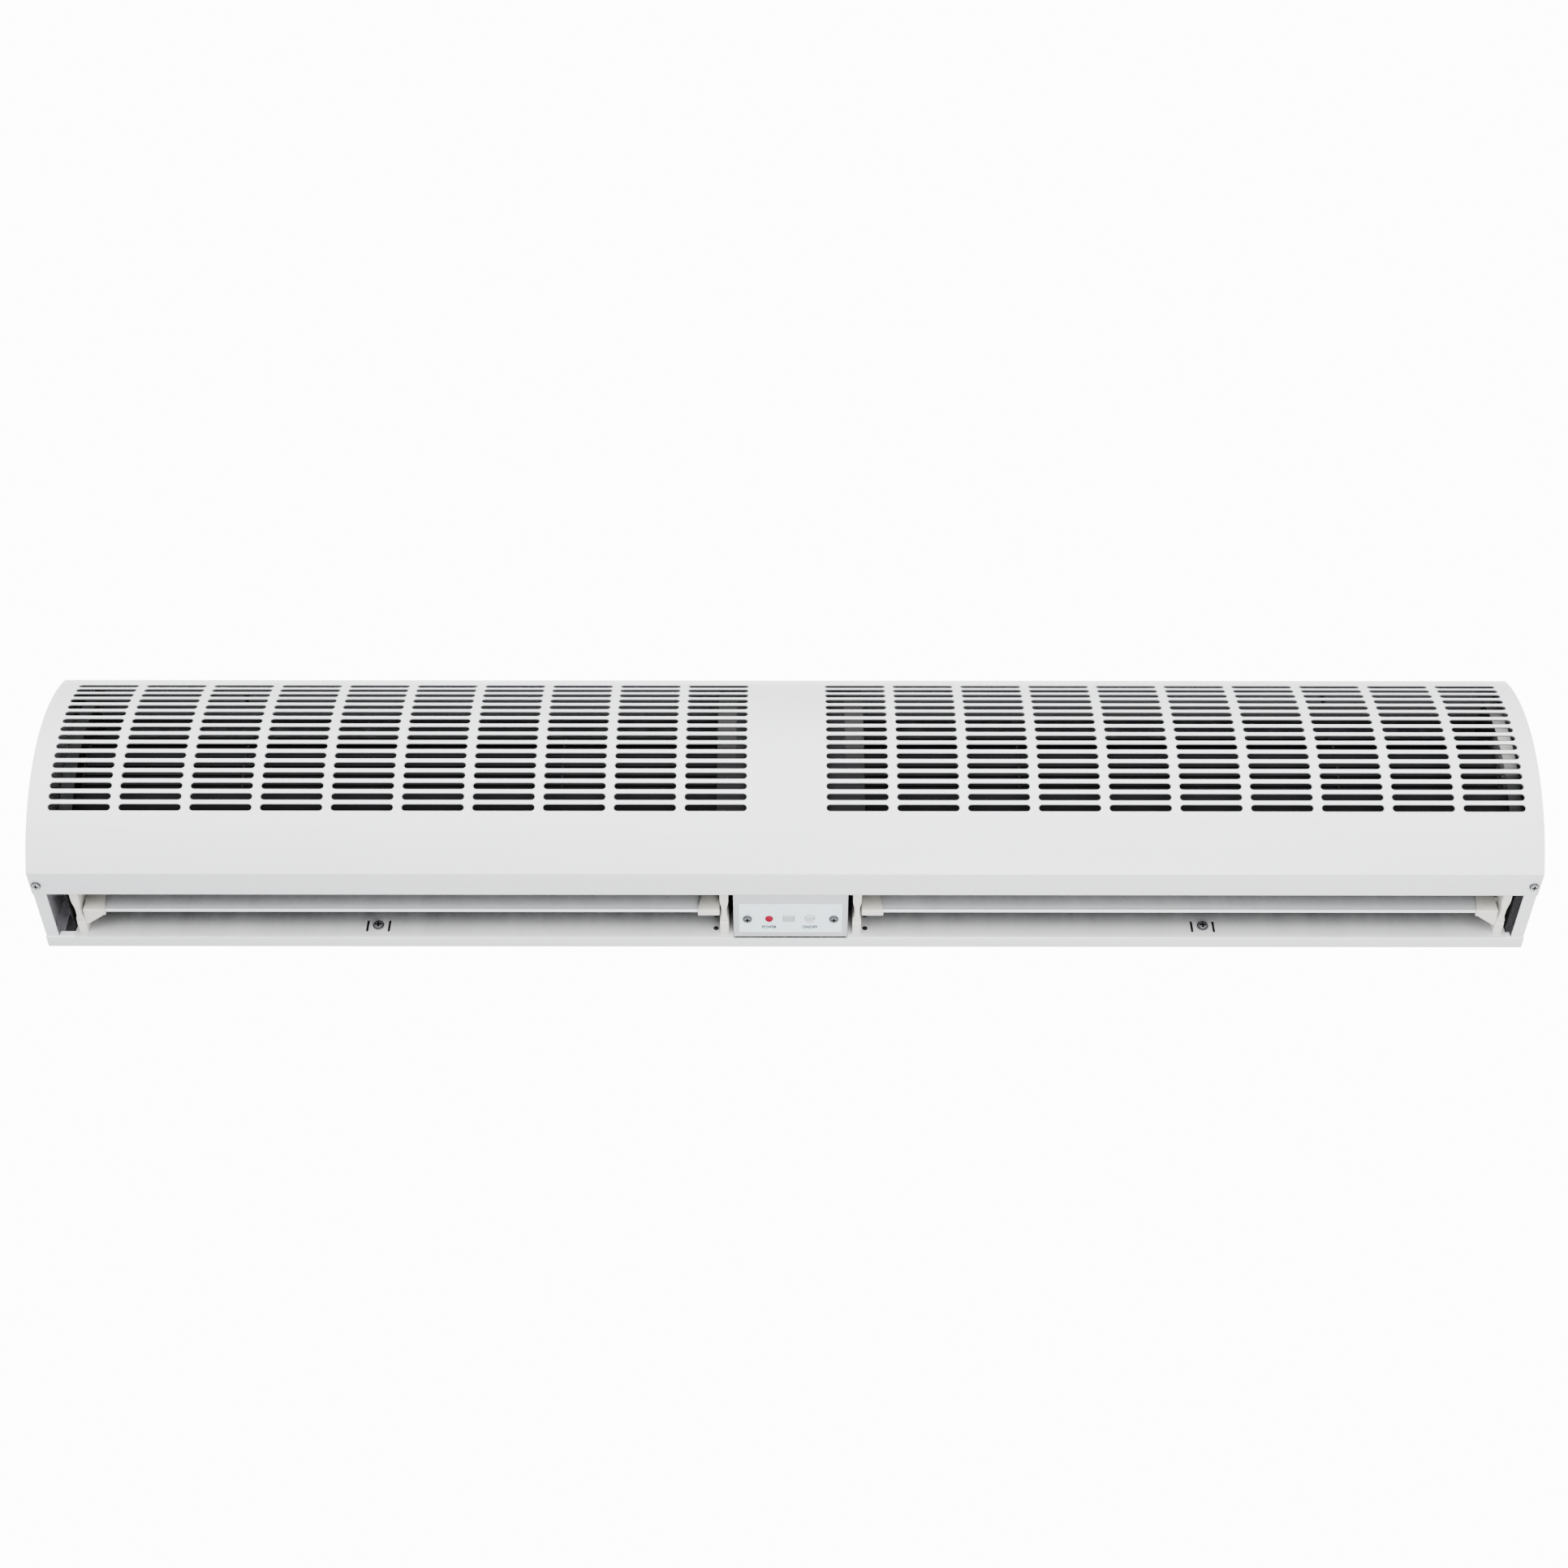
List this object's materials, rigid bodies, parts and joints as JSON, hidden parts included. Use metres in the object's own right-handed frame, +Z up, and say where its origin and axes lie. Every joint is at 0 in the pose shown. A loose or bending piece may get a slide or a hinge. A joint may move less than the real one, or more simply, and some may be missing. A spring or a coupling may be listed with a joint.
{
  "type": "air curtain",
  "caption": "Wall-mounted cross-flow air curtain with a bowed slotted intake cover, a hinged air vane in each outlet and a push-button panel underneath.",
  "frame": {"origin": "centre of the flat back face of the wall mounting rail", "axes": "+Z up, +Y into the wall, +X along the unit, to the right when facing its front (-Y)"},
  "size_m": [1.2, 0.1499, 0.19],
  "materials": {
    "white_paint": "semi-gloss cool white powder coat",
    "zinc_sheet": "galvanised sheet, dull",
    "cream_plastic": "moulded, fine matte",
    "anodised_aluminium": "satin extrusion",
    "bright_steel": "turned",
    "screw_steel": "zinc plated",
    "black_plastic": "moulded, matte",
    "black_rubber": "soft, matte",
    "bearing_bronze": "sintered",
    "control_film": "printed film, satin",
    "red_lens": "translucent red",
    "grey_lens": "smooth",
    "white_plastic": "moulded, glossy",
    "green_board": "solder-masked laminate"
  },
  "bodies": {
    "casing": {"cable_grommet": "black_rubber", "control_board": "green_board", "control_overlay": "control_film", "control_panel": "white_paint", "front_cover": "white_paint", "left_bearing_ring": "black_rubber", "left_bush": "bearing_bronze", "left_cover_screw": "screw_steel", "left_end_bracket": "zinc_sheet", "left_end_plate": "white_paint", "left_inner_vane_bracket": "cream_plastic", "left_lock_screw": "screw_steel", "left_motor_ring": "black_rubber", "left_outer_vane_bracket": "cream_plastic", "left_panel_screw": "screw_steel", "left_partition": "zinc_sheet", "left_scroll": "zinc_sheet", "left_tongue": "black_plastic", "left_top_screw": "screw_steel", "middle_top_screw": "screw_steel", "motor_body": "zinc_sheet", "motor_cover": "zinc_sheet", "mounting_rail": "zinc_sheet", "power_lamp": "red_lens", "rear_casing": "white_paint", "receiver_window": "grey_lens", "right_bearing_ring": "black_rubber", "right_bush": "bearing_bronze", "right_cover_screw": "screw_steel", "right_end_bracket": "zinc_sheet", "right_end_plate": "white_paint", "right_inner_vane_bracket": "cream_plastic", "right_lock_screw": "screw_steel", "right_motor_ring": "black_rubber", "right_outer_vane_bracket": "cream_plastic", "right_panel_screw": "screw_steel", "right_partition": "zinc_sheet", "right_scroll": "zinc_sheet", "right_tongue": "black_plastic", "right_top_screw": "screw_steel", "run_capacitor": "black_plastic", "terminal_block": "black_plastic"},
    "rotor": {"motor_shaft": "bright_steel", "left_impeller": "black_plastic", "left_hub": "bright_steel", "left_stub_shaft": "bright_steel", "right_impeller": "black_plastic", "right_hub": "bright_steel", "right_stub_shaft": "bright_steel"},
    "left_vane_set": {"left_vane": "anodised_aluminium", "left_inner_vane_cap": "cream_plastic", "left_outer_vane_cap": "cream_plastic"},
    "right_vane_set": {"right_vane": "anodised_aluminium", "right_inner_vane_cap": "cream_plastic", "right_outer_vane_cap": "cream_plastic"},
    "button": {"power_button": "white_plastic"}
  },
  "joints": [
    {"name": "rotor_spin", "type": "hinge", "parent": "casing", "child": "rotor", "pos_m": [0, -0.076, -0.009], "axis": [1, 0, 0], "continuous": true},
    {"name": "left_vane_tilt", "type": "hinge", "parent": "casing", "child": "left_vane_set", "pos_m": [0, -0.04326, -0.0953], "axis": [1, 0, 0], "range_deg": [-35, 25]},
    {"name": "right_vane_tilt", "type": "hinge", "parent": "casing", "child": "right_vane_set", "pos_m": [0, -0.04326, -0.0953], "axis": [1, 0, 0], "range_deg": [-35, 25]},
    {"name": "button_press", "type": "slide", "parent": "casing", "child": "button", "axis": [0, 0, 1], "range_m": [0, 0.0008], "stiffness_N_per_m": 1000, "springref_m": -0.0005}
  ]
}
